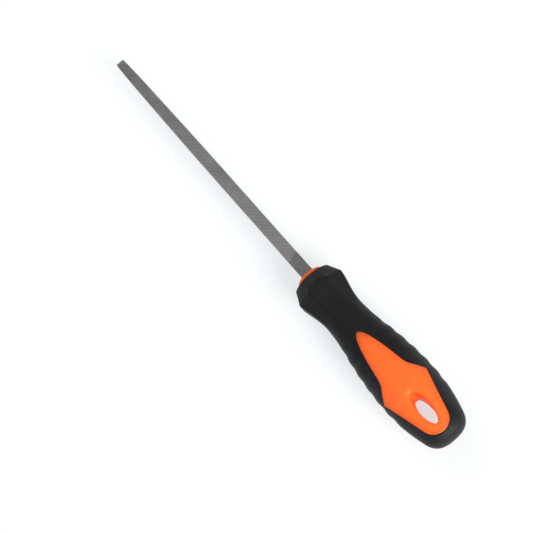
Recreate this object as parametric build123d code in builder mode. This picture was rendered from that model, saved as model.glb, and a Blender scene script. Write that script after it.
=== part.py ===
"""Square file, 150 mm long, with a two-material moulded handle.

The file lies level: +X runs along the blade to its point, +Z is up, and the origin is under the
middle of the tool on the surface that it lies on. Stations along the handle are measured in
millimetres back from the front face of the collar.
"""
from build123d import *
from math import acos, atan2, cos, pi, sin
import os

# Blade: a square bar, parallel at the heel and bellied towards the point, with a spiked tang
BLADE_LENGTH = 150.0          # from the collar to the point
BLADE_SIDE = 6.35             # square section of the parallel stretch
POINT_SIDE = 4.5              # square section at the point
BELLY_LENGTH = 85.0           # the stretch that narrows to the point
TANG_ROOT_SIDE = 5.0          # the tang steps in at the collar's face
TANG_TIP_SIDE = 2.4
TANG_LENGTH = 46.0

# Handle: stations, half widths (across Y) and half thicknesses (across Z)
ROUND = 2.0                   # squareness of a circle or a true ellipse; more is squarer
HANDLE_LENGTH = 103.1         # collar face to butt
COLLAR_RADIUS = 6.6           # the collar is the front end of the core's stem
COLLAR_LENGTH = 2.5           # how far the collar stands out of the bolster
COLLAR_EDGE = 0.5
WAIST = 26.0                  # station of the round waist
WAIST_RADIUS = 10.15
BOLSTER_ROUNDS = (            # station, radius of the turned form that takes off the octagon's corners
    (COLLAR_LENGTH, 13.75),
    (9.6, 13.7),
    (14.3, 12.55),
    (18.2, 11.6),
    (22.0, 10.8),
)
BARREL = (                    # station, half width, half thickness, squareness of the oval
    (WAIST, WAIST_RADIUS, WAIST_RADIUS, ROUND),
    (34.0, 10.75, 10.25, 2.05),
    (43.0, 12.35, 10.7, 2.15),
    (54.0, 13.95, 11.3, 2.25),
    (64.0, 14.85, 11.55, 2.3),
    (74.0, 15.05, 11.45, 2.3),
    (84.0, 14.2, 10.8, 2.3),
    (92.0, 12.6, 9.7, 2.3),
    (98.0, 10.9, 8.4, 2.3),
    (100.8, 9.2, 7.0, 2.2),
    (102.5, 6.5, 4.9, 2.1),
    (HANDLE_LENGTH, 3.4, 2.6, ROUND),
)
OCTAGON = (                   # station, distance from the axis to a flat
    (COLLAR_LENGTH, 9.9),
    (9.6, 12.85),
    (11.6, 12.4),
    (14.3, 11.75),
    (18.2, 10.9),
    (24.0, 10.25),
    (30.0, 10.6),
)
OCTAGON_SIDES = 8
OCTAGON_TURN = 22.5           # puts flats square to Y and Z
BARREL_ROOM = 60.0            # side of the open box that leaves the barrel as it is

# Core: a stem inside the rubber and a raised panel on each wide face
STEM_END = 44.0
COLLAR_TRIM = 1.0             # extra radius of the disc that frees the collar from the outer form
CORE_ROWS = slice(2, 8)       # the barrel rows that the swell of the core follows
FLANK_RUBBER = 2.8            # rubber thickness on the flanks of the swell
FACE_RUBBER = 2.4             # rubber thickness under the panels' edges
PANEL_BASE = 4.0              # height above the axis where a panel begins
PANEL_SHIFT = 1.0             # the panels and slot sit off the axis, towards +Y
PANEL_TIP = (38.7, 0.0)       # panel outline: station and distance from the panel's own middle line
PANEL_NOSE = ((44.2, 3.5), (52.0, 5.4))
PANEL_NECK = (60.5, 7.0)
PANEL_NECK_SLOPE = 0.17       # widening of the nose per millimetre where it reaches the neck
PANEL_FLARE = (65.8, 8.75)
PANEL_SHOULDER = (71.7, 12.8)
PANEL_END_RADIUS = 7.3
PANEL_END = 98.6

# Hanging slot through the core
SLOT_MIDDLE = 85.3
SLOT_LENGTH = 17.2
SLOT_WIDTH = 6.0
SLOT_FLARE = 1.6              # rounding of both mouths of the slot

# Scallops along both flanks
SCALLOP_FIRST = 41.0
SCALLOP_PITCH = 7.45
SCALLOP_COUNT = 6
SCALLOP_DEPTH = 0.35
SCALLOP_RUN = 30.0            # length of each scallop's cut, past both wide faces

TOTAL_LENGTH = BLADE_LENGTH + HANDLE_LENGTH
COLLAR_X = TOTAL_LENGTH / 2 - BLADE_LENGTH
AXIS_Z = OCTAGON[1][1]        # the bolster's lowest flat touches the ground

plan_plane = Plane(origin=(COLLAR_X, 0, AXIS_Z), x_dir=(1, 0, 0), z_dir=(0, 0, 1))
side_plane = Plane(origin=(COLLAR_X, 0, AXIS_Z), x_dir=(1, 0, 0), z_dir=(0, -1, 0))


def cross_plane(station):
    """The plane across the handle at a station, with its own X along +Y and its own Y along +Z."""
    return Plane(origin=(COLLAR_X - station, 0, AXIS_Z), x_dir=(0, 1, 0), z_dir=(1, 0, 0))


def oval_points(half_width, half_height, squareness, count=24):
    """Points round a superellipse."""
    points = []
    for step in range(count):
        angle = 2 * pi * step / count
        across = abs(cos(angle)) ** (2 / squareness) * half_width
        up = abs(sin(angle)) ** (2 / squareness) * half_height
        points.append((across if cos(angle) >= 0 else -across, up if sin(angle) >= 0 else -up))
    return points


def oval(station, half_width, half_height, squareness):
    """A filled oval across the handle."""
    with BuildSketch(cross_plane(station)) as section:
        with BuildLine():
            Spline(*oval_points(half_width, half_height, squareness), periodic=True)
        make_face()
    return section.sketch


def half_width_at(station):
    """Half width of the barrel between its listed stations."""
    for (s0, w0, _, _), (s1, w1, _, _) in zip(BARREL, BARREL[1:]):
        if s0 <= station <= s1:
            return w0 + (w1 - w0) * (station - s0) / (s1 - s0)
    raise ValueError("station is off the barrel")


# ---------------------------------------------------------------- file_blade
def bar_outline():
    """Outline of the bar and tang, the same seen from above and from the side."""
    with BuildLine() as outline:
        belly_start = BLADE_LENGTH - BELLY_LENGTH
        upper = Line((0, BLADE_SIDE / 2), (belly_start, BLADE_SIDE / 2))
        TangentArc(upper @ 1, (BLADE_LENGTH, POINT_SIDE / 2), tangent=(1, 0))
        Line((BLADE_LENGTH, POINT_SIDE / 2), (BLADE_LENGTH, 0))
        Line((0, BLADE_SIDE / 2), (0, TANG_ROOT_SIDE / 2))
        Line((0, TANG_ROOT_SIDE / 2), (-TANG_LENGTH, TANG_TIP_SIDE / 2))
        Line((-TANG_LENGTH, TANG_TIP_SIDE / 2), (-TANG_LENGTH, 0))
        mirror(about=Plane.XZ)
    return outline


with BuildPart() as file_blade:
    with BuildSketch(plan_plane):
        add(bar_outline().line)
        make_face()
    extrude(amount=BLADE_SIDE / 2, both=True)
    with BuildSketch(side_plane):
        add(bar_outline().line)
        make_face()
    extrude(amount=BLADE_SIDE / 2, both=True, mode=Mode.INTERSECT)
file_blade.part.label = "file_blade"

# ---------------------------------------------------------------- outer form of the handle
with BuildPart() as octagon_limit:
    # octagonal frustums over the bolster, then open room for the barrel
    for (front, front_flat), (back, back_flat) in zip(OCTAGON, OCTAGON[1:]):
        with BuildSketch(cross_plane(front)):
            RegularPolygon(front_flat, OCTAGON_SIDES, major_radius=False, rotation=OCTAGON_TURN)
        with BuildSketch(cross_plane(back)):
            RegularPolygon(back_flat, OCTAGON_SIDES, major_radius=False, rotation=OCTAGON_TURN)
        loft()
    with BuildSketch(cross_plane(OCTAGON[-1][0])):
        Rectangle(BARREL_ROOM, BARREL_ROOM)
    extrude(amount=-HANDLE_LENGTH)

with BuildPart() as handle_form:
    bolster = [oval(station, radius, radius, ROUND) for station, radius in BOLSTER_ROUNDS]
    loft(sections=bolster + [oval(*row) for row in BARREL])
    add(octagon_limit.part, mode=Mode.INTERSECT)
    for side in (-1, 1):
        for index in range(SCALLOP_COUNT):
            station = SCALLOP_FIRST + index * SCALLOP_PITCH
            radius = ((SCALLOP_PITCH / 2) ** 2 + SCALLOP_DEPTH ** 2) / (2 * SCALLOP_DEPTH)
            middle = half_width_at(station) - SCALLOP_DEPTH + radius
            with Locations((COLLAR_X - station, side * middle, AXIS_Z)):
                Cylinder(radius, SCALLOP_RUN, mode=Mode.SUBTRACT)

# ---------------------------------------------------------------- inside shape shared by core and grip
def panel_outline():
    """Outline of a panel seen from above: a long rounded nose, sharp shoulders and a round end."""
    # the end arc's centre, and where the straight side from the shoulder touches the arc
    centre = PANEL_END - PANEL_END_RADIUS
    reach = ((centre - PANEL_SHOULDER[0]) ** 2 + PANEL_SHOULDER[1] ** 2) ** 0.5
    turn = atan2(PANEL_SHOULDER[1], centre - PANEL_SHOULDER[0]) + acos(PANEL_END_RADIUS / reach)
    touch = (centre - PANEL_END_RADIUS * cos(turn), PANEL_END_RADIUS * sin(turn))
    with BuildLine() as outline:
        nose = Spline(
            *[(-station, half) for station, half in (PANEL_TIP,) + PANEL_NOSE + (PANEL_NECK,)],
            tangents=[(0, 1), (-1, PANEL_NECK_SLOPE)],
        )
        TangentArc(nose @ 1, (-PANEL_FLARE[0], PANEL_FLARE[1]), tangent=nose % 1)
        Line((-PANEL_FLARE[0], PANEL_FLARE[1]), (-PANEL_SHOULDER[0], PANEL_SHOULDER[1]))
        side = Line((-PANEL_SHOULDER[0], PANEL_SHOULDER[1]), (-touch[0], touch[1]))
        TangentArc(side @ 1, (-PANEL_END, 0), tangent=side % 1)
        mirror(about=Plane.XZ)
    return outline.line


with BuildPart() as core_blank:
    # stem from the collar into the swell
    with BuildSketch(cross_plane(STEM_END)):
        Circle(COLLAR_RADIUS)
    extrude(amount=STEM_END)
    # swell inside the rubber
    loft(sections=[
        oval(station, half_width - FLANK_RUBBER, half_height - FACE_RUBBER, squareness)
        for station, half_width, half_height, squareness in BARREL[CORE_ROWS]
    ])
    # panels, drawn taller than the handle so that its outer form can trim them
    for direction in (1, -1):
        panel_base = plan_plane.offset(direction * PANEL_BASE).move(Location((0, PANEL_SHIFT, 0)))
        with BuildSketch(panel_base):
            add(panel_outline())
            make_face()
        extrude(amount=direction * AXIS_Z)

# ---------------------------------------------------------------- soft_grip
with BuildPart() as soft_grip:
    add(handle_form.part)
    add(core_blank.part, mode=Mode.SUBTRACT)
soft_grip.part.label = "soft_grip"

# ---------------------------------------------------------------- handle_core
with BuildPart() as handle_core:
    add(handle_form.part)
    with BuildSketch(cross_plane(COLLAR_LENGTH)):
        Circle(COLLAR_RADIUS + COLLAR_TRIM)
    extrude(amount=COLLAR_LENGTH)
    add(core_blank.part, mode=Mode.INTERSECT)
    add(file_blade.part, mode=Mode.SUBTRACT)
    with BuildSketch(plan_plane.move(Location((-SLOT_MIDDLE, PANEL_SHIFT, 0)))):
        Ellipse(SLOT_LENGTH / 2, SLOT_WIDTH / 2)
    extrude(amount=AXIS_Z, both=True, mode=Mode.SUBTRACT)
    # each mouth of the slot is one closed edge, longer round than twice the slot's length
    closed_edges = handle_core.edges().filter_by(lambda edge: edge.is_closed)
    mouths = closed_edges.filter_by(lambda edge: edge.length > SLOT_LENGTH * 2).sort_by(Axis.X)[:2]
    fillet(mouths, radius=SLOT_FLARE)
    collar_rim = handle_core.edges().filter_by(GeomType.CIRCLE).sort_by(Axis.X)[-1]
    fillet(collar_rim, radius=COLLAR_EDGE)
handle_core.part.label = "handle_core"

os.makedirs("parts", exist_ok=True)
for piece in (file_blade, handle_core, soft_grip):
    export_step(piece.part, f"parts/{piece.part.label}.step")
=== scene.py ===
"""Visual model of a square file with a two-material moulded handle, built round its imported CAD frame.

Handle shapes are worked out in millimetres in the tool's own coordinates and turned into the
frame's metres by place(): a station is the distance back from the collar's front face, y runs
across the tool and z up from the tool's axis.
"""
import bpy
import bmesh
import math
import numpy as np
from mathutils import Matrix, Vector


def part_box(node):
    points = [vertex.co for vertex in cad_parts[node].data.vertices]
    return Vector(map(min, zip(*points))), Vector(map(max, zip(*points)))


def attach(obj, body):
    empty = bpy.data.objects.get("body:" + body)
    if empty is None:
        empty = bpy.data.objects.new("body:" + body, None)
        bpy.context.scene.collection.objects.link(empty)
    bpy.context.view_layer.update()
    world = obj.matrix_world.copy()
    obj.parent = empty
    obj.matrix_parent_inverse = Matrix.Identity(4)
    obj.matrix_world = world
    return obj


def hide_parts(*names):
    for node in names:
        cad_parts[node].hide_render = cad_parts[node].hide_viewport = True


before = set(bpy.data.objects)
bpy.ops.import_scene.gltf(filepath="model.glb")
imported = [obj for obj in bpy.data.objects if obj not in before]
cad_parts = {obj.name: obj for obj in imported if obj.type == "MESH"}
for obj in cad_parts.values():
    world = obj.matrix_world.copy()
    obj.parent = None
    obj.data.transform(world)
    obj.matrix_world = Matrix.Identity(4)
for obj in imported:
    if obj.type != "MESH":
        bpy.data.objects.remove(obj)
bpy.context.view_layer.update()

MM = 0.001
blade_low, blade_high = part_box("file_blade")
grip_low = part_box("soft_grip")[0]
COLLAR_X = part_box("handle_core")[1].x
AXIS_Z = (blade_low.z + blade_high.z) / 2
HANDLE_LENGTH = (COLLAR_X - grip_low.x) / MM
BLADE_LENGTH = (blade_high.x - COLLAR_X) / MM
BLADE_HALF = (blade_high.z - blade_low.z) / 2 / MM

# ---------------------------------------------------------------- camera, floor and lights
CAMERA_AIM = Vector((COLLAR_X + 0.0177, 0.01219, AXIS_Z))
CAMERA_DISTANCE = 0.745       # metres
CAMERA_TILT = 19.5            # degrees from straight above, towards the butt
CAMERA_TURN = 0.2             # degrees sideways, towards +Y
CAMERA_ROLL = 41.26           # degrees from the blade's direction up the picture
CAMERA_LENS = 106.1           # millimetres, like the sensor's width
CAMERA_SENSOR = 36.0
CAMERA_CLIP = (0.01, 20.0)    # metres
ROOM_LIGHT = (                # height of the direction, brightness
    (0.0, (0.60, 0.60, 0.61)),
    (0.45, (0.62, 0.62, 0.64)),
    (0.85, (0.56, 0.56, 0.56)),
    (1.0, (0.52, 0.52, 0.52)),
)
LIGHTS = (                    # name, place to the right, up and towards the camera, size, watts
    ("key_light", (2.8, -2.1, 4.6), 3.0, 352.0),
    ("fill_light", (-3.3, 4.0, 1.4), 3.0, 90.0),
    ("butt_light", (4.2, -2.4, 1.5), 3.5, 165.0),
)
FLOOR_SIZE = 8.0
FLOOR_GLOW = 0.625            # strength of the floor's own light
FLOOR_GLOW_COLOUR = (0.94, 0.985, 1.0, 1.0)


def make_camera():
    """Makes the scene's camera and returns its directions to the right, up and back."""
    tilt, turn, roll = (math.radians(a) for a in (CAMERA_TILT, CAMERA_TURN, CAMERA_ROLL))
    back = Vector((-math.sin(tilt), math.cos(tilt) * math.sin(turn), math.cos(tilt) * math.cos(turn)))
    ahead = Vector((1, 0, 0))
    ahead = (ahead - ahead.dot(back) * back).normalized()
    side = ahead.cross(back)
    up = ahead * math.cos(roll) + side * math.sin(roll)
    right = up.cross(back)
    data = bpy.data.cameras.new("camera")
    data.lens = CAMERA_LENS
    data.sensor_width = CAMERA_SENSOR
    data.clip_start, data.clip_end = CAMERA_CLIP
    camera = bpy.data.objects.new("camera", data)
    turned = Matrix((right, up, back)).transposed().to_4x4()
    camera.matrix_world = Matrix.Translation(CAMERA_AIM + back * CAMERA_DISTANCE) @ turned
    bpy.context.scene.collection.objects.link(camera)
    bpy.context.scene.camera = camera
    return right, up, back


def make_light(directions, name, where, size, watts):
    """A square soft light aimed at the tool, placed in metres along the camera's directions."""
    data = bpy.data.lights.new(name, "AREA")
    data.shape = "SQUARE"
    data.size = size
    data.energy = watts
    light = bpy.data.objects.new(name, data)
    right, up, back = directions
    way = right * where[0] + up * where[1] + back * where[2]
    light.matrix_world = Matrix.Translation(way) @ way.to_track_quat("Z", "Y").to_matrix().to_4x4()
    bpy.context.scene.collection.objects.link(light)


def make_room():
    """Light from all round, a little dimmer overhead; the camera sees it plain white."""
    world = bpy.data.worlds.new("studio")
    bpy.context.scene.world = world
    world.use_nodes = True
    tree = world.node_tree
    background = tree.nodes["Background"]
    way = tree.nodes.new("ShaderNodeTexCoord")
    parts = tree.nodes.new("ShaderNodeSeparateXYZ")
    tree.links.new(way.outputs["Generated"], parts.inputs["Vector"])
    room = ramp(tree, parts.outputs["Z"], ROOM_LIGHT)
    seen = tree.nodes.new("ShaderNodeLightPath")
    mix = tree.nodes.new("ShaderNodeMix")
    mix.data_type = "RGBA"
    tree.links.new(seen.outputs["Is Camera Ray"], mix.inputs["Factor"])
    tree.links.new(room, mix.inputs["A"])
    mix.inputs["B"].default_value = (1.0, 1.0, 1.0, 1.0)
    tree.links.new(mix.outputs["Result"], background.inputs["Color"])


def make_floor():
    """A wide pale floor under the tool, which glows like the room round it."""
    bpy.ops.mesh.primitive_plane_add(size=FLOOR_SIZE)
    floor = bpy.context.object
    floor.name = "floor"
    floor.data.materials.append(floor_material())


# ---------------------------------------------------------------- materials
FLOOR_COLOURS = (             # position on the ramp, colour
    (0.3, (0.33, 0.33, 0.33)),
    (0.7, (0.35, 0.35, 0.35)),
)
SMOOTH_RUBBER_COLOURS = (
    (0.25, (0.0038, 0.0038, 0.0047)),
    (0.75, (0.0062, 0.0062, 0.0074)),
)
# painted sheen: the grainy rubber is coloured lighter than the smooth, in place of light caught on the flanks
# and butt
SHEEN_GRAINED_RUBBER_COLOURS = (
    (0.25, (0.0135, 0.0135, 0.0145)),
    (0.75, (0.0175, 0.0175, 0.0190)),
)
PLASTIC_COLOURS = (
    (0.2, (0.95, 0.122, 0.014)),
    (0.8, (1.0, 0.138, 0.018)),
)
STEEL_COLOURS = (             # from the gullets to the crests
    (0.0, (0.060, 0.060, 0.058)),
    (0.15, (0.085, 0.084, 0.082)),
    (0.75, (0.290, 0.287, 0.280)),
    (1.0, (0.385, 0.381, 0.371)),
)
STEEL_PATCHES = 0.35          # how much the steel's blotches count beside its teeth


def new_material(name):
    """A new material with its node tree and its shader."""
    material = bpy.data.materials.new(name)
    material.use_nodes = True
    tree = material.node_tree
    return material, tree, tree.nodes["Principled BSDF"]


def noise(tree, scale, detail, rough=0.5):
    """Noise in object coordinates; scale is features per metre."""
    where = tree.nodes.new("ShaderNodeTexCoord")
    texture = tree.nodes.new("ShaderNodeTexNoise")
    texture.inputs["Scale"].default_value = scale
    texture.inputs["Detail"].default_value = detail
    texture.inputs["Roughness"].default_value = rough
    tree.links.new(where.outputs["Object"], texture.inputs["Vector"])
    return texture.outputs["Fac"]


def ramp(tree, value, stops):
    """A colour ramp over (position, colour) stops."""
    node = tree.nodes.new("ShaderNodeValToRGB")
    elements = node.color_ramp.elements
    while len(elements) < len(stops):
        elements.new(0.5)
    for element, (position, colour) in zip(elements, stops):
        element.position = position
        element.color = (*colour, 1.0)
    tree.links.new(value, node.inputs["Fac"])
    return node.outputs["Color"]


def remap(tree, value, low, high):
    """A value from 0 to 1 spread from low to high."""
    node = tree.nodes.new("ShaderNodeMapRange")
    node.inputs["To Min"].default_value = low
    node.inputs["To Max"].default_value = high
    tree.links.new(value, node.inputs["Value"])
    return node.outputs["Result"]


def bump(tree, height, distance):
    """The node that turns a height from 0 to 1 into relief of the given depth, in metres."""
    node = tree.nodes.new("ShaderNodeBump")
    node.inputs["Distance"].default_value = distance
    tree.links.new(height, node.inputs["Height"])
    return node


def blend(tree, kind, first, second):
    """Mixes two colours all the way; the node's Factor is 1 until it is changed."""
    node = tree.nodes.new("ShaderNodeMix")
    node.data_type = "RGBA"
    node.blend_type = kind
    node.inputs["Factor"].default_value = 1.0
    tree.links.new(first, node.inputs["A"])
    tree.links.new(second, node.inputs["B"])
    return node


def mesh_value(tree, name):
    """The node that reads a value stored on the mesh's points."""
    node = tree.nodes.new("ShaderNodeAttribute")
    node.attribute_name = name
    return node


def floor_material():
    material, tree, shader = new_material("pale_floor")
    colour = ramp(tree, noise(tree, scale=3.0, detail=2.0), FLOOR_COLOURS)
    tree.links.new(colour, shader.inputs["Base Color"])
    shader.inputs["Roughness"].default_value = 0.85
    shader.inputs["Specular IOR Level"].default_value = 0.1
    shader.inputs["Emission Color"].default_value = FLOOR_GLOW_COLOUR
    shader.inputs["Emission Strength"].default_value = FLOOR_GLOW
    return material


def rubber_material():
    """Black rubber, smooth in front and grainy at the back, where a painted sheen also makes it a little
    greyer, by the mesh's attribute.
    """
    material, tree, shader = new_material("black_rubber")
    speckle = noise(tree, scale=260.0, detail=5.0)
    smooth = ramp(tree, speckle, SMOOTH_RUBBER_COLOURS)
    grained_with_sheen = ramp(tree, speckle, SHEEN_GRAINED_RUBBER_COLOURS)
    # painted sheen: the attribute that sets the grainy bump also mixes in the lighter colour
    grain_and_sheen_share = mesh_value(tree, "grain_and_sheen").outputs["Fac"]
    mix = blend(tree, "MIX", smooth, grained_with_sheen)
    tree.links.new(grain_and_sheen_share, mix.inputs["Factor"])
    tree.links.new(mix.outputs["Result"], shader.inputs["Base Color"])
    rough = remap(tree, noise(tree, scale=900.0, detail=3.0), low=0.46, high=0.60)
    tree.links.new(rough, shader.inputs["Roughness"])
    relief = bump(tree, noise(tree, scale=3600.0, detail=2.0, rough=0.6), distance=0.00006)
    tree.links.new(remap(tree, grain_and_sheen_share, low=0.35, high=1.0), relief.inputs["Strength"])
    tree.links.new(relief.outputs["Normal"], shader.inputs["Normal"])
    shader.inputs["Specular IOR Level"].default_value = 0.18
    return material


def plastic_material():
    """Satin orange plastic, with painted shade along the panels' rims and at their noses, by the mesh's
    attribute.
    """
    material, tree, shader = new_material("orange_plastic")
    colour = ramp(tree, noise(tree, scale=180.0, detail=4.0), PLASTIC_COLOURS)
    # painted shade: the mesh's body attribute darkens the colour at the panels' rims and noses
    mix = blend(tree, "MULTIPLY", colour, mesh_value(tree, "body").outputs["Color"])
    tree.links.new(mix.outputs["Result"], shader.inputs["Base Color"])
    rough = remap(tree, noise(tree, scale=700.0, detail=3.0), low=0.33, high=0.43)
    tree.links.new(rough, shader.inputs["Roughness"])
    relief = bump(tree, noise(tree, scale=2600.0, detail=2.0), distance=0.00005)
    relief.inputs["Strength"].default_value = 0.18
    tree.links.new(relief.outputs["Normal"], shader.inputs["Normal"])
    shader.inputs["Specular IOR Level"].default_value = 0.28
    return material


def steel_material():
    """Dull file steel: bright tooth crests over darker gullets, by the mesh's own height attribute."""
    material, tree, shader = new_material("file_steel")
    patches = noise(tree, scale=220.0, detail=5.0)
    total = tree.nodes.new("ShaderNodeMath")
    total.operation = "MULTIPLY_ADD"
    total.inputs[1].default_value = STEEL_PATCHES
    tree.links.new(patches, total.inputs[0])
    tree.links.new(mesh_value(tree, "crest").outputs["Fac"], total.inputs[2])
    colour = ramp(tree, total.outputs[0], STEEL_COLOURS)
    tree.links.new(colour, shader.inputs["Base Color"])
    shader.inputs["Metallic"].default_value = 1.0
    rough = remap(tree, noise(tree, scale=1500.0, detail=3.0), low=0.38, high=0.55)
    tree.links.new(rough, shader.inputs["Roughness"])
    return material


# ---------------------------------------------------------------- mesh helpers
SAME_POINT = 1e-7             # metres; points closer than this are joined
TINY = 0.01                   # millimetres; a distance that counts as nothing


def place(station, y, z):
    """Tool coordinates in millimetres to the frame's metres."""
    return (COLLAR_X - station * MM, y * MM, AXIS_Z + z * MM)


def make_piece(name, points, faces, material):
    """A smooth-shaded object from points and faces, with points that coincide joined."""
    mesh = bpy.data.meshes.new(name)
    mesh.from_pydata(points, [], faces)
    mesh.validate()
    work = bmesh.new()
    work.from_mesh(mesh)
    bmesh.ops.remove_doubles(work, verts=work.verts, dist=SAME_POINT)
    bmesh.ops.recalc_face_normals(work, faces=work.faces)
    work.to_mesh(mesh)
    work.free()
    mesh.polygons.foreach_set("use_smooth", [True] * len(mesh.polygons))
    mesh.materials.append(material)
    piece = bpy.data.objects.new(name, mesh)
    bpy.context.scene.collection.objects.link(piece)
    return piece


def store_on_points(piece, name, values):
    """Stores one value for each of the piece's points, for its material to read."""
    layer = piece.data.attributes.new(name, "FLOAT", "POINT")
    layer.data.foreach_set("value", values)


def natural_spline(xs, ys):
    """A natural cubic spline through the points, as a function that keeps its end values outside them."""
    xs, ys = np.asarray(xs, float), np.asarray(ys, float)
    gap = np.diff(xs)
    count = len(xs)
    system = np.eye(count)
    right = np.zeros(count)
    for i in range(1, count - 1):
        system[i, i - 1:i + 2] = gap[i - 1], 2 * (gap[i - 1] + gap[i]), gap[i]
        right[i] = 6 * ((ys[i + 1] - ys[i]) / gap[i] - (ys[i] - ys[i - 1]) / gap[i - 1])
    bend = np.linalg.solve(system, right)

    def curve(x):
        x = np.clip(x, xs[0], xs[-1])
        i = np.clip(np.searchsorted(xs, x) - 1, 0, count - 2)
        h, left, rest = gap[i], xs[i + 1] - x, x - xs[i]
        return ((bend[i] * left ** 3 + bend[i + 1] * rest ** 3) / (6 * h)
                + (ys[i] / h - bend[i] * h / 6) * left + (ys[i + 1] / h - bend[i + 1] * h / 6) * rest)

    return curve


# ---------------------------------------------------------------- outer form of the handle
WAIST = 26.0
WAIST_RADIUS = 10.15
FRONT = 2.5                   # station of the bolster's front face
FRONT_RADIUS = 10.05          # the front face is nearly round
CORNER = 9.6                  # station where the bolster is widest
FLATS = (                     # station, distance from the axis to the octagon's flats
    (CORNER, 12.85),
    (11.6, 12.42),
    (14.3, 11.78),
    (18.2, 10.9),
    (22.0, 10.38),
    (WAIST, WAIST_RADIUS),
    (30.0, 10.35),
)
CORNER_ROUND = 1.074          # the octagon's corners are rounded off at this share of the flats' distance
CORNER_SOFT = 0.012           # softness of that rounding, as a share too
FLATS_FADE = (17.0, 31.0)     # stations between which the octagon turns into the oval
FRONT_OCTAGON = 0.15          # how much of the octagon shows at the front face
CONE_SLOPE = 0.583            # the chamfer over the wide faces is a steeper cone: it meets them in arcs
CONE_SIDES = (0.88, 0.99)     # sines of the angles between which the chamfer turns into the cone
EDGE_SOFT = 0.35              # softness of the moulded edges
ROUND = 2.0                   # squareness of a true ellipse
BARREL = (                    # station, half width, half thickness, squareness of the oval
    (WAIST, WAIST_RADIUS, WAIST_RADIUS, ROUND),
    (34.0, 10.75, 10.25, 2.05),
    (43.0, 12.35, 10.7, 2.15),
    (54.0, 13.95, 11.3, 2.25),
    (64.0, 14.85, 11.55, 2.3),
    (74.0, 15.05, 11.45, 2.3),
    (84.0, 14.2, 10.8, 2.3),
    (92.0, 12.6, 9.7, 2.3),
    (98.0, 11.0, 8.7, 2.3),
    (104.0, 9.3, 7.6, 2.2),
)
FRONT_EDGE = 0.35             # radius round the bolster's front face
DOME_START = 95.0             # station where the butt's rounding starts
DOME_REACH = 3.0              # how late it closes in
DOME_SQUARE = 3.05            # and how flat its end is
SCALLOP_FIRST = 41.0
SCALLOP_PITCH = 7.45
SCALLOP_COUNT = 6
SCALLOP_DEPTH = 0.36
SCALLOP_SIDES = (0.38, 0.78)  # how far sideways the surface faces where the scallops fade in
HALVINGS = 40                 # steps of the search for a point of the surface

flats = natural_spline([row[0] for row in FLATS], [row[1] for row in FLATS])
barrel_width, barrel_height, barrel_square = (
    natural_spline([row[0] for row in BARREL], [row[k] for row in BARREL]) for k in (1, 2, 3)
)


def smooth_step(value, low, high):
    """A smooth rise from 0 at low to 1 at high, and level outside them."""
    share = np.clip((value - low) / (high - low), 0, 1)
    return share * share * (3 - 2 * share)


def soft_min(a, b, softness):
    """The smaller of two lengths, rounded where they meet."""
    gap = np.clip(0.5 + (b - a) / (2 * softness), 0, 1)
    return b + (a - b) * gap - softness * gap * (1 - gap)


def form_radius(station, angle):
    """Distance from the axis to the handle's surface; the angle is from +Y towards +Z."""
    station, angle = np.broadcast_arrays(np.asarray(station, float), np.asarray(angle, float))
    bolster = flats(np.maximum(station, CORNER))
    ahead = station < WAIST
    width = np.where(ahead, bolster, barrel_width(station))
    height = np.where(ahead, bolster, barrel_height(station))
    square = np.where(ahead, ROUND, barrel_square(station))
    cosine, sine = np.abs(np.cos(angle)), np.abs(np.sin(angle))
    oval = ((cosine / width) ** square + (sine / height) ** square) ** (-1 / square)
    # the octagon's flats, as a share of the oval
    turn = (angle + math.pi / 8) % (math.pi / 4) - math.pi / 8
    octagon = soft_min(1 / np.cos(turn), CORNER_ROUND, CORNER_SOFT)
    radius = oval * (1 + (octagon - 1) * (1 - smooth_step(station, *FLATS_FADE)))
    # the chamfer turns from a round front face into the octagon
    along = (station - FRONT) / (CORNER - FRONT)
    chamfer = FRONT_RADIUS + along * (FLATS[0][1] - FRONT_RADIUS)
    eight_sided = FRONT_OCTAGON + (1 - FRONT_OCTAGON) * np.clip(along, 0, 1)
    chamfer = chamfer * (1 + (octagon - 1) * eight_sided)
    cone = FRONT_RADIUS + (station - FRONT) * CONE_SLOPE
    chamfer = chamfer + (cone - chamfer) * smooth_step(sine, *CONE_SIDES)
    radius = soft_min(radius, chamfer, EDGE_SOFT)
    # scallops across the flanks
    middle = SCALLOP_FIRST + (SCALLOP_COUNT - 1) * SCALLOP_PITCH / 2
    wave = 0.5 + 0.5 * np.cos((station - SCALLOP_FIRST) * 2 * math.pi / SCALLOP_PITCH)
    wave = np.where(np.abs(station - middle) < SCALLOP_COUNT * SCALLOP_PITCH / 2, wave, 0)
    radius = radius - SCALLOP_DEPTH * wave * smooth_step(cosine, *SCALLOP_SIDES)
    # rounded edge round the bolster's front face
    shy = np.clip(FRONT_EDGE - (station - FRONT), 0, FRONT_EDGE)
    radius = radius - (FRONT_EDGE - np.sqrt(FRONT_EDGE ** 2 - shy ** 2))
    # rounded butt
    end = np.clip((station - DOME_START) / (HANDLE_LENGTH - DOME_START), 0, 1)
    return radius * (1 - end ** DOME_REACH) ** (1 / DOME_SQUARE)


def upper_angle(station, y):
    """The angle on the upper half where the surface stands y off the axis."""
    station, y = np.broadcast_arrays(np.asarray(station, float), np.asarray(y, float))
    low, high = np.zeros(y.shape), np.full(y.shape, math.pi)
    for _ in range(HALVINGS):
        middle = (low + high) / 2
        beyond = form_radius(station, middle) * np.cos(middle) > y
        low, high = np.where(beyond, middle, low), np.where(beyond, high, middle)
    return low


def upper_height(station, y):
    """Height over the axis of the upper surface, y off the middle."""
    angle = upper_angle(station, y)
    return form_radius(station, angle) * np.sin(angle)


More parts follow.
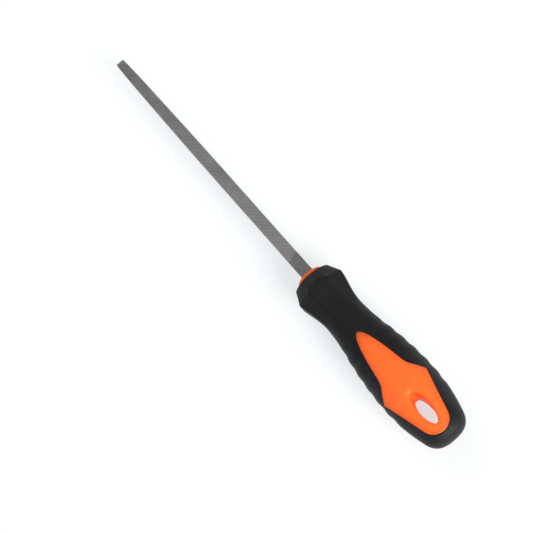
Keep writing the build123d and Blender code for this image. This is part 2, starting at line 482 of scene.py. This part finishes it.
# ---------------------------------------------------------------- panel outline
PANEL_SHIFT = 1.0             # the panels and the slot sit this far towards +Y
PANEL_TIP = 38.7
PANEL_WIDENING = 1.487        # the nose is a parabola: half width over the root of the distance
PANEL_NECK = 61.5             # station where the parabola turns into a hollow arc
PANEL_FLARE = (65.8, 8.75)    # end of the arc: station, half width
PANEL_SHOULDER = (71.7, 12.8)
PANEL_CORNER_RADIUS = 0.7
PANEL_END = 98.6
PANEL_END_RADIUS = 7.3
NOSE_STEPS = 44
NECK_STEPS = 7
SHOULDER_STEPS = 6
END_STEPS = 22
SIDE_SPACING = 0.7            # between points on the outline's straight sides


def arc_points(start, end, tangent, count):
    """Points after start on the circular arc that leaves it along tangent."""
    start, end, tangent = (np.asarray(v, float) for v in (start, end, tangent))
    tangent = tangent / np.linalg.norm(tangent)
    normal = np.array((-tangent[1], tangent[0]))
    chord = end - start
    radius = chord.dot(chord) / (2 * chord.dot(normal))
    centre = start + normal * radius
    sweep = 2 * math.atan2(chord.dot(normal), chord.dot(tangent))
    points = []
    for step in range(1, count + 1):
        cosine, sine = math.cos(sweep * step / count), math.sin(sweep * step / count)
        points.append(centre + np.array(((cosine, -sine), (sine, cosine))) @ (start - centre))
    return points


def rounded_corner(before, corner, after, radius, count):
    """Points of the arc that rounds off the corner between two straight lines."""
    before, corner, after = (np.asarray(v, float) for v in (before, corner, after))
    a = (before - corner) / np.linalg.norm(before - corner)
    b = (after - corner) / np.linalg.norm(after - corner)
    half = math.acos(np.clip(a.dot(b), -1, 1)) / 2
    reach = radius / math.tan(half)
    start, end = corner + a * reach, corner + b * reach
    return [start] + arc_points(start, end, -a, count)


def even_points(start, end, spacing):
    """Points after start on the straight line to end."""
    start, end = np.asarray(start, float), np.asarray(end, float)
    count = max(1, int(round(np.linalg.norm(end - start) / spacing)))
    return [start + (end - start) * step / count for step in range(1, count + 1)]


def panel_outline():
    """Half of the panel's outline as (station, half width) points, from the nose to the round end."""
    neck_root = math.sqrt(PANEL_NECK - PANEL_TIP)
    roots = [neck_root * step / NOSE_STEPS for step in range(NOSE_STEPS + 1)]
    points = [np.array((PANEL_TIP + root ** 2, PANEL_WIDENING * root)) for root in roots]
    slope = (1.0, PANEL_WIDENING / (2 * neck_root))
    points += arc_points(points[-1], PANEL_FLARE, slope, NECK_STEPS)
    centre = PANEL_END - PANEL_END_RADIUS
    across, along = PANEL_SHOULDER[1], centre - PANEL_SHOULDER[0]
    turn = math.atan2(across, along) + math.acos(PANEL_END_RADIUS / math.hypot(across, along))
    touch = np.array((centre - PANEL_END_RADIUS * math.cos(turn), PANEL_END_RADIUS * math.sin(turn)))
    corner = rounded_corner(PANEL_FLARE, PANEL_SHOULDER, touch, PANEL_CORNER_RADIUS, SHOULDER_STEPS)
    points += even_points(points[-1], corner[0], SIDE_SPACING)[:-1] + corner
    points += even_points(points[-1], touch, SIDE_SPACING)
    points += arc_points(touch, (PANEL_END, 0.0), touch - np.asarray(PANEL_SHOULDER), END_STEPS)
    points[-1][1] = 0.0           # exactly on the middle line
    return points


OUTLINE = panel_outline()
OUTLINE_CLOSED = np.array(OUTLINE + [np.array((s, -y)) for s, y in OUTLINE[-2:0:-1]])
SEAM_DEPTH = 0.28             # the rubber's edge dips this deep along the seam
SEAM_WIDTH = 0.34             # and this far from it the dip ends


def seam_gap(station, y):
    """Distance in plan from points to the line where rubber and plastic meet."""
    spots = np.stack((np.broadcast_to(station, np.shape(y)), np.asarray(y) - PANEL_SHIFT), -1)[..., None, :]
    step = np.roll(OUTLINE_CLOSED, -1, axis=0) - OUTLINE_CLOSED
    share = np.clip(((spots - OUTLINE_CLOSED) * step).sum(-1) / (step * step).sum(-1), 0, 1)
    return np.sqrt((((OUTLINE_CLOSED + step * share[..., None]) - spots) ** 2).sum(-1).min(-1))


def seam_sink(station, y):
    """How far the rubber dips at the seam."""
    near = np.clip(1 - seam_gap(station, y) / SEAM_WIDTH, 0, 1)
    return SEAM_DEPTH * near * near


# ---------------------------------------------------------------- soft grip
RUBBER = 1.0                  # thickness of the skin of rubber behind the waist
COLLAR_RADIUS = 6.6
SEAM_STEPS = np.array((0.0, 0.06, 0.13, 0.21, 0.32, 0.6, 1.1))  # from the seam to the points beside it
SEAM_STEP_LIMIT = 0.35        # those steps take at most this share of half a flank
FLANK_STEPS = 34              # steps from there to the flank's middle
EDGE_ROWS = 6                 # rows of points round the front face's edge
CHAMFER_STATIONS = (FRONT + 0.6, CORNER - 0.9)
CHAMFER_SPACING = 0.25        # between rows at these stations
CORNER_STATIONS = (CORNER - 0.8, CORNER + 0.8)
CORNER_ROWS = 9
NECK_STATIONS = (CORNER + 1.4, PANEL_TIP - 1.2)
NECK_SPACING = 0.7
BUTT_ROWS = 18
WALL_FADE = 1.5               # the windows' straight walls turn into the skin over this distance
# painted sheen: where the rubber is grainy it is also coloured lighter, most where it faces sideways and at
# the butt, in place of light from the sides and the back
GRAIN_SHEEN_STATIONS = (36.0, 80.0)  # stations between which the grainy finish and its painted sheen set in
GRAIN_SHEEN_SIDES = (0.55, 0.90)    # how far sideways the surface faces where it sets in
GRAIN_SHEEN_BUTT = (90.0, 100.0)    # stations between which they turn into the butt's weaker grainy finish and sheen
BUTT_GRAIN_SHEEN = 0.45


def grip_rows():
    """(station, half width of the window) rows, closer together where the form turns quickly."""
    ahead = list(np.linspace(FRONT, FRONT + FRONT_EDGE, EDGE_ROWS))
    ahead += list(np.arange(*CHAMFER_STATIONS, CHAMFER_SPACING))
    ahead += list(np.linspace(*CORNER_STATIONS, CORNER_ROWS))
    ahead += list(np.arange(*NECK_STATIONS, NECK_SPACING))
    ahead += list(PANEL_TIP - SEAM_STEPS[:0:-1])
    behind = list(PANEL_END + SEAM_STEPS[1:])
    rest = HANDLE_LENGTH - behind[-1]
    behind += [HANDLE_LENGTH - rest * (1 - share) ** 2 for share in np.linspace(0, 1, BUTT_ROWS)[1:]]
    return [(s, 0.0) for s in ahead] + [(s, y) for s, y in OUTLINE] + [(s, 0.0) for s in behind]


def flank_angles(station, half, side):
    """Angles from the window's upper edge round one flank to its lower edge."""
    start = float(upper_angle(station, PANEL_SHIFT + side * half))
    sweep = start if side > 0 else math.pi - start
    radius = max(float(form_radius(station, start)), TINY)
    near = SEAM_STEPS * min(1 / radius, SEAM_STEP_LIMIT * sweep / SEAM_STEPS[-1])
    turn = np.concatenate((near, np.linspace(near[-1], sweep, FLANK_STEPS + 1)[1:]))
    turn = np.concatenate((turn, 2 * sweep - turn[-2::-1]))
    return start - side * turn


def inner_point(station, radius, angle, turn):
    """The inside of the rubber: straight down at the window's edge, towards the axis elsewhere."""
    behind = smooth_step(station, WAIST, PANEL_TIP - 1)
    skin = (radius - COLLAR_RADIUS) * (1 - behind) + RUBBER * behind
    skin = np.minimum(skin, radius)
    down = np.exp(-turn * radius / WALL_FADE) * behind
    cosine, sine = np.cos(angle), np.sin(angle)
    y = radius * cosine - skin * (1 - down) * cosine
    z = radius * sine - skin * (down * np.sign(sine) + (1 - down) * sine)
    return min(station, HANDLE_LENGTH - RUBBER), y, z


def store_grain_and_sheen(piece):
    """Stores the rubber's grainy finish and painted sheen: none in front and beside the panels, most on
    flanks and butt.
    """
    values = []
    for vertex in piece.data.vertices:
        station = (COLLAR_X - vertex.co.x) / MM
        y, z = vertex.co.y / MM, (vertex.co.z - AXIS_Z) / MM
        butt = smooth_step(station, *GRAIN_SHEEN_BUTT)
        flank = smooth_step(abs(y) / max(math.hypot(y, z), TINY), *GRAIN_SHEEN_SIDES)
        flank *= 1 - (1 - BUTT_GRAIN_SHEEN) * butt
        values.append(float(smooth_step(station, *GRAIN_SHEEN_STATIONS) * max(flank, BUTT_GRAIN_SHEEN * butt)))
    store_on_points(piece, "grain_and_sheen", values)


def add_flank(points, faces, rows, side, inside):
    """Adds one flank's inner or outer surface and returns the numbers of its points, row by row."""
    grid = []
    for station, half in rows:
        angles = flank_angles(station, half, side)
        radius = form_radius(station, angles)
        if inside:
            from_edge = np.minimum(np.abs(angles - angles[0]), np.abs(angles - angles[-1]))
            where, y, z = inner_point(station, radius, angles, from_edge)
        else:
            radius = radius - seam_sink(station, radius * np.cos(angles))
            where, y, z = station, radius * np.cos(angles), radius * np.sin(angles)
        grid.append(range(len(points), len(points) + len(angles)))
        points.extend(place(where, a, b) for a, b in zip(y, z))
    for a, b in zip(grid, grid[1:]):
        faces.extend((a[j], a[j + 1], b[j + 1], b[j]) for j in range(len(a) - 1))
    return grid


def make_grip(material):
    """The rubber: an outer and an inner surface on each flank, joined at the front and at both windows."""
    rows = grip_rows()
    points, faces = [], []
    flanks = [
        [add_flank(points, faces, rows, side, inside) for inside in (False, True)]
        for side in (1, -1)
    ]
    for outer, inner in flanks:
        # front face round the collar
        for j in range(len(outer[0]) - 1):
            faces.append((outer[0][j], outer[0][j + 1], inner[0][j + 1], inner[0][j]))
        # walls of the upper and the lower window
        for i, (row, following) in enumerate(zip(rows, rows[1:])):
            if max(row[1], following[1]) > 0:
                for j in (0, -1):
                    faces.append((outer[i][j], outer[i + 1][j], inner[i + 1][j], inner[i][j]))
    piece = make_piece("grip_rubber", points, faces, material)
    store_grain_and_sheen(piece)
    return piece


# ---------------------------------------------------------------- core: panels, slot and collar
SLOT_MIDDLE = 85.3
SLOT_LENGTH = 17.2
SLOT_WIDTH = 6.0
SLOT_FLARE = 1.75             # rounding of the slot's mouth at its sides
SLOT_SCOOP = 0.9              # how much wider it is towards the blade
SLOT_TIGHT = 0.5              # how much narrower it is towards the butt
SLOT_RIDGE = 2.2              # how far the two mouths' blade ends close in to a ridge at mid height
RIDGE_FADE = 3.5              # how quickly the ridge fades towards the slot's sides
MOUTH_RINGS = 9               # rings of points round the mouth, on the wall and across the panel
WALL_RINGS = 13
PANEL_RINGS = 30
PANEL_EDGE = 0.22             # rounding of the panel's rim
PANEL_GAP = 0.03              # clearance between the panel's wall and the rubber
RIM_STEPS = (0.8, 0.4, PANEL_EDGE, 0.14, 0.07, 0.02, 0.0)  # from the last rings to the rim
PANEL_WALL = 1.3              # depth of the panel's outer wall
PANEL_UNDER = (0.9, 1.8)      # the wall's foot turns in: share of the outline, depth
STEM_END = 48.0               # the stem holds the tang and ends inside the grip
STEM_STATIONS = (1.2, FRONT, FRONT + 4, 20, 34, STEM_END)
STEM_SIDES = 96
TANG_LENGTH = 46.0
TANG_ROOT_HALF = 2.5
TANG_TIP_HALF = 1.2
SOCKET_CLEARANCE = 0.02
COLLAR_EDGE = 0.55            # rounding of the collar's edge
COLLAR_EDGE_RINGS = 7
EDGE_SHADE = 0.38              # painted shade: share of the plastic's colour taken off at the very edge of a panel
EDGE_SHADE_REACH = 1.25
NOSE_SHADE = 0.42              # painted shade: the same at the tip of its nose
NOSE_SHADE_REACH = 5.0


def slot_ring(directions, grow):
    """Points of the slot's ellipse, grown outwards, in the given directions from its middle."""
    a, b = SLOT_LENGTH / 2 + grow, SLOT_WIDTH / 2 + grow
    reach = a * b / np.hypot(b * directions[:, 0], a * directions[:, 1])
    return directions * reach[:, None] + np.array((SLOT_MIDDLE, 0))


def core_rings():
    """Rings of (station, y, z) points from the slot's wall over the upper panel and down its outer wall."""
    middle = np.array((SLOT_MIDDLE, 0))
    spokes = OUTLINE_CLOSED - middle
    length = np.hypot(spokes[:, 0], spokes[:, 1])[:, None]
    rim = middle + spokes * (1 - PANEL_GAP / length)
    directions = spokes / length
    rings = []

    def ring(plan, sink):
        y = plan[:, 1] + PANEL_SHIFT
        rings.append(np.stack((plan[:, 0], y, upper_height(plan[:, 0], y) - sink), 1))

    lengthwise = directions[:, 0]
    scoop = SLOT_SCOOP * np.minimum(lengthwise, 0) ** 2
    tight = SLOT_TIGHT * np.maximum(lengthwise, 0) ** 2
    flare = SLOT_FLARE + scoop - tight
    for turn in np.radians(np.linspace(0, 90, MOUTH_RINGS)):
        ring(slot_ring(directions, flare * (1 - math.cos(turn))), flare * (1 - math.sin(turn)))
    mouth = slot_ring(directions, flare)
    last = rim - directions * RIM_STEPS[0]
    for share in np.linspace(0, 1, PANEL_RINGS)[1:]:
        ring(mouth + (last - mouth) * share, 0)
    for gap in RIM_STEPS[1:]:
        shy = max(0.0, PANEL_EDGE - gap)
        ring(rim - directions * gap, PANEL_EDGE - math.sqrt(PANEL_EDGE ** 2 - shy ** 2))
    ring(rim, PANEL_WALL)
    ring(middle + spokes * PANEL_UNDER[0], PANEL_UNDER[1])
    return rings


def slot_walls(wall_top):
    """Rings of the slot's wall from the lower mouth to the upper; their blade end closes in at mid height."""
    ahead = np.maximum(SLOT_MIDDLE - wall_top[:, 0], 0) / (SLOT_LENGTH / 2)
    rings = []
    for share in np.linspace(-1, 1, WALL_RINGS)[1:-1]:
        ring = wall_top * (1, 1, share)
        ring[:, 0] += SLOT_RIDGE * (1 - abs(share)) * ahead ** RIDGE_FADE
        rings.append(ring)
    return rings


def add_skin(points, faces, rings):
    """Adds rings, each a list of points, and the faces that join them one after the other."""
    numbers = []
    for ring in rings:
        numbers.append(range(len(points), len(points) + len(ring)))
        points.extend(ring)
    for a, b in zip(numbers, numbers[1:]):
        count = len(a)
        faces.extend((a[j], a[(j + 1) % count], b[(j + 1) % count], b[j]) for j in range(count))


def square_ring(station, half, angles):
    """Points round a square across the tool."""
    reach = half / np.maximum(np.abs(np.cos(angles)), np.abs(np.sin(angles)))
    return [place(station, r * math.cos(a), r * math.sin(a)) for r, a in zip(reach, angles)]


def round_ring(station, radius, angles):
    """Points round a circle across the tool."""
    return [place(station, radius * math.cos(a), radius * math.sin(a)) for a in angles]


def paint_rim_shade(piece):
    """Stores painted shade, as the share of the plastic's colour kept: less at the panel's edges and nose."""
    values = []
    for vertex in piece.data.vertices:
        station, y = (COLLAR_X - vertex.co.x) / MM, vertex.co.y / MM
        edge = nose = 0.0             # no painted shade, as on the collar and the stem
        if station >= PANEL_TIP - 1:
            edge = EDGE_SHADE * math.exp(-float(seam_gap(station, y)) / EDGE_SHADE_REACH)
            nose = NOSE_SHADE * math.exp(-max(0.0, station - PANEL_TIP) / NOSE_SHADE_REACH)
        values.append((1 - edge) * (1 - nose))
    store_on_points(piece, "body", values)


def make_core(material):
    """The plastic: both panels and the slot's wall between them, and the collar and stem with the socket."""
    points, faces = [], []
    upper = core_rings()
    lower = [ring * (1, 1, -1) for ring in upper]
    closed = lower[::-1] + slot_walls(upper[0]) + upper + [lower[-1]]
    add_skin(points, faces, [[place(*point) for point in ring] for ring in closed])
    # collar and stem with the tang's tapered socket
    angles = np.arange(STEM_SIDES) * 2 * math.pi / STEM_SIDES
    rings = [[place(TANG_LENGTH, 0, 0)] * len(angles)]
    rings.append(square_ring(TANG_LENGTH, TANG_TIP_HALF + SOCKET_CLEARANCE, angles))
    rings.append(square_ring(0, TANG_ROOT_HALF + SOCKET_CLEARANCE, angles))
    for turn in np.radians(np.linspace(0, 90, COLLAR_EDGE_RINGS)):
        shrink = COLLAR_EDGE * (1 - math.sin(turn))
        back = COLLAR_EDGE * (1 - math.cos(turn))
        rings.append(round_ring(back, COLLAR_RADIUS - shrink, angles))
    rings += [round_ring(station, COLLAR_RADIUS, angles) for station in STEM_STATIONS]
    rings.append([place(STEM_END, 0, 0)] * len(angles))
    add_skin(points, faces, rings)
    piece = make_piece("core_plastic", points, faces, material)
    paint_rim_shade(piece)
    return piece


# ---------------------------------------------------------------- blade
BLADE_PROFILE = (             # distance from the point, half of the square's side
    (0.0, 2.20), (3.0, 2.32), (7.0, 2.47), (14.0, 2.64), (25.0, 2.77), (40.0, 2.93), (60.0, 3.10),
    (80.0, BLADE_HALF), (95.0, BLADE_HALF), (BLADE_LENGTH, BLADE_HALF),
)
HEEL_LENGTH = 11.6            # uncut stretch at the collar, at mid width
HEEL_DEPTH = 0.03             # how far the uncut face lies under the crests
HEEL_SHADE = 0.29             # its brightness between the gullets' 0 and the crests' 1
UPCUT_LEAN = 19.0             # degrees between the upper cut and straight across
OVERCUT_LEAN = -43.0          # the same for the cut below it
UPCUT_PITCH = 0.60
OVERCUT_PITCH = 0.70
TOOTH_DEPTH = 0.20
CREST_PROUD = 0.06            # the crests stand a little proud of the bar's nominal faces
TOOTH_LEAN = 0.22             # how far each crest leans to the point, as a share of the pitch
EDGE_DROP = 0.12              # the faces fall away a little at the bar's edges
EDGE_POWER = 6                # and this sharply
EDGE_REACH = 1.1              # out to this share of the half width
LATTICE_MARGIN = 2.0          # the tooth lattice is this much larger than the bar, and is cut off later
CUT_TOLERANCE = 1e-6          # millimetres
blade_half = natural_spline([row[0] for row in BLADE_PROFILE], [row[1] for row in BLADE_PROFILE])


def face_height(ahead, across):
    """Height of an untoothed face over the axis; ahead is the distance from the collar."""
    half = np.minimum(blade_half(BLADE_LENGTH - ahead), BLADE_HALF)
    return half + CREST_PROUD - EDGE_DROP * np.clip(np.abs(across) / half, 0, EDGE_REACH) ** EDGE_POWER


def cut_direction(lean):
    """The direction (ahead, across) towards the point along a cut that leans this many degrees."""
    turn = math.radians(lean)
    return np.array((math.sin(turn), -math.cos(turn))) * math.copysign(1, lean)


def tooth_lattice():
    """Points (ahead, across, height, crest) and faces of one cut face, larger than the bar."""
    up, over = cut_direction(UPCUT_LEAN), cut_direction(OVERCUT_LEAN)
    between = abs(up[0] * over[1] - up[1] * over[0])
    # steps along each set of cuts from one cut of the other set to the next
    u, v = up * OVERCUT_PITCH / between, over * UPCUT_PITCH / between
    origin = np.array((HEEL_LENGTH, 0.0))
    lean = np.array((TOOTH_LEAN * UPCUT_PITCH, 0.0))
    points, index, faces = [], {}, []

    def heel_side(spot):
        return np.dot(spot - origin, (-up[1], up[0])) < -TINY

    def vertex(key, spot, depth, crest):
        if key not in index:
            ahead, across = spot
            if heel_side(spot):
                depth, crest = HEEL_DEPTH, HEEL_SHADE
            index[key] = len(points)
            points.append((ahead, across, float(face_height(ahead, across)) - depth, crest))
        return index[key]

    # more rows and columns of teeth than the face needs; those past the margin are left out
    margin = BLADE_HALF + LATTICE_MARGIN
    rows = int((BLADE_LENGTH + HEEL_LENGTH) / v[0])
    columns = int(2 * margin / abs(u[1]))
    for i in range(-rows, rows):
        shift = round(i * v[1] / u[1])
        for j in range(-columns, columns):
            k = j - shift
            corner = origin + u * k + v * i
            centre = corner + (u + v) / 2
            if abs(centre[1]) > margin or not -LATTICE_MARGIN < centre[0] < BLADE_LENGTH + LATTICE_MARGIN:
                continue
            low = [vertex((i + a, k + b), corner + v * a + u * b, TOOTH_DEPTH, 0.0)
                   for a, b in ((0, 0), (1, 0), (1, 1), (0, 1))]
            top = vertex((i, k, "crest"), centre + lean, 0.0, 1.0)
            faces.extend((low[n], low[(n + 1) % 4], top) for n in range(4))
    return points, faces


def blade_place(ahead, across, out, quarter):
    """A point of one of the four faces; quarter 0 is the upper face."""
    turn = quarter * math.pi / 2
    y = across * math.cos(turn) - out * math.sin(turn)
    z = across * math.sin(turn) + out * math.cos(turn)
    return Vector((COLLAR_X + ahead * MM, y * MM, AXIS_Z + z * MM))


def cut_wedge(lattice, lattice_faces):
    """One cut face trimmed to its quarter of the bar and closed down to the axis, as a mesh."""
    wedge = bmesh.new()
    crest = wedge.verts.layers.float.new("crest")
    corners = []
    for ahead, across, out, value in lattice:
        corner = wedge.verts.new((ahead, across, out))
        corner[crest] = value
        corners.append(corner)
    for face in lattice_faces:
        wedge.faces.new([corners[n] for n in face])
    # both ends of the bar, then the quarter's two sides: a point of each plane and its outward direction
    cuts = (
        ((0, 0, 0), (-1, 0, 0)),
        ((BLADE_LENGTH, 0, 0), (1, 0, 0)),
        ((0, 0, 0), (0, 1, -1)),
        ((0, 0, 0), (0, -1, -1)),
    )
    for at, outward in cuts:
        everything = list(wedge.verts) + list(wedge.edges) + list(wedge.faces)
        bmesh.ops.bisect_plane(
            wedge, geom=everything, plane_co=at, plane_no=Vector(outward).normalized(),
            clear_outer=True, dist=CUT_TOLERANCE,
        )
    axis_points = {}

    def axis_point(vertex):
        key = round(vertex.co.x, 6)
        if key not in axis_points:
            axis_points[key] = wedge.verts.new((vertex.co.x, 0, 0))
        return axis_points[key]

    for edge in [edge for edge in wedge.edges if edge.is_boundary]:
        a, b = edge.verts
        ring = [a, b, axis_point(b), axis_point(a)]
        if ring[2] is ring[3]:
            ring.pop()
        wedge.faces.new(ring)
    return wedge


def add_wedge(whole, wedge, quarter):
    """Copies a wedge into the whole blade, turned to its quarter."""
    crest, whole_crest = (mesh.verts.layers.float["crest"] for mesh in (wedge, whole))
    moved = {}
    for vertex in wedge.verts:
        copy = whole.verts.new(blade_place(*vertex.co, quarter))
        copy[whole_crest] = vertex[crest]
        moved[vertex] = copy
    for face in wedge.faces:
        whole.faces.new([moved[vertex] for vertex in face.verts])


def add_tang(whole):
    """Adds the square, tapered tang to the blade."""
    root, tip = (
        [whole.verts.new(blade_place(ahead, half, half, quarter)) for quarter in range(4)]
        for ahead, half in ((0, TANG_ROOT_HALF), (SOCKET_CLEARANCE - TANG_LENGTH, TANG_TIP_HALF))
    )
    whole.faces.new(root)
    whole.faces.new(tip[::-1])
    for n in range(4):
        whole.faces.new((root[n], root[(n + 1) % 4], tip[(n + 1) % 4], tip[n]))


def make_blade(material):
    """The steel: four cut faces and the tang."""
    mesh = bpy.data.meshes.new("blade_steel")
    whole = bmesh.new()
    whole.verts.layers.float.new("crest")
    lattice, lattice_faces = tooth_lattice()
    for quarter in range(4):
        wedge = cut_wedge(lattice, lattice_faces)
        add_wedge(whole, wedge, quarter)
        wedge.free()
    add_tang(whole)
    bmesh.ops.recalc_face_normals(whole, faces=whole.faces)
    whole.to_mesh(mesh)
    whole.free()
    mesh.materials.append(material)
    piece = bpy.data.objects.new("blade_steel", mesh)
    bpy.context.scene.collection.objects.link(piece)
    return piece


# ---------------------------------------------------------------- put together
bpy.context.scene.view_settings.view_transform = "Standard"
camera_directions = make_camera()
make_room()
for light in LIGHTS:
    make_light(camera_directions, *light)
make_floor()
for piece, node, slot in (
    (make_blade(steel_material()), "file_blade", "file_steel"),
    (make_core(plastic_material()), "handle_core", "core_plastic"),
    (make_grip(rubber_material()), "soft_grip", "grip_rubber"),
):
    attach(piece, "root")
    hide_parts(node)
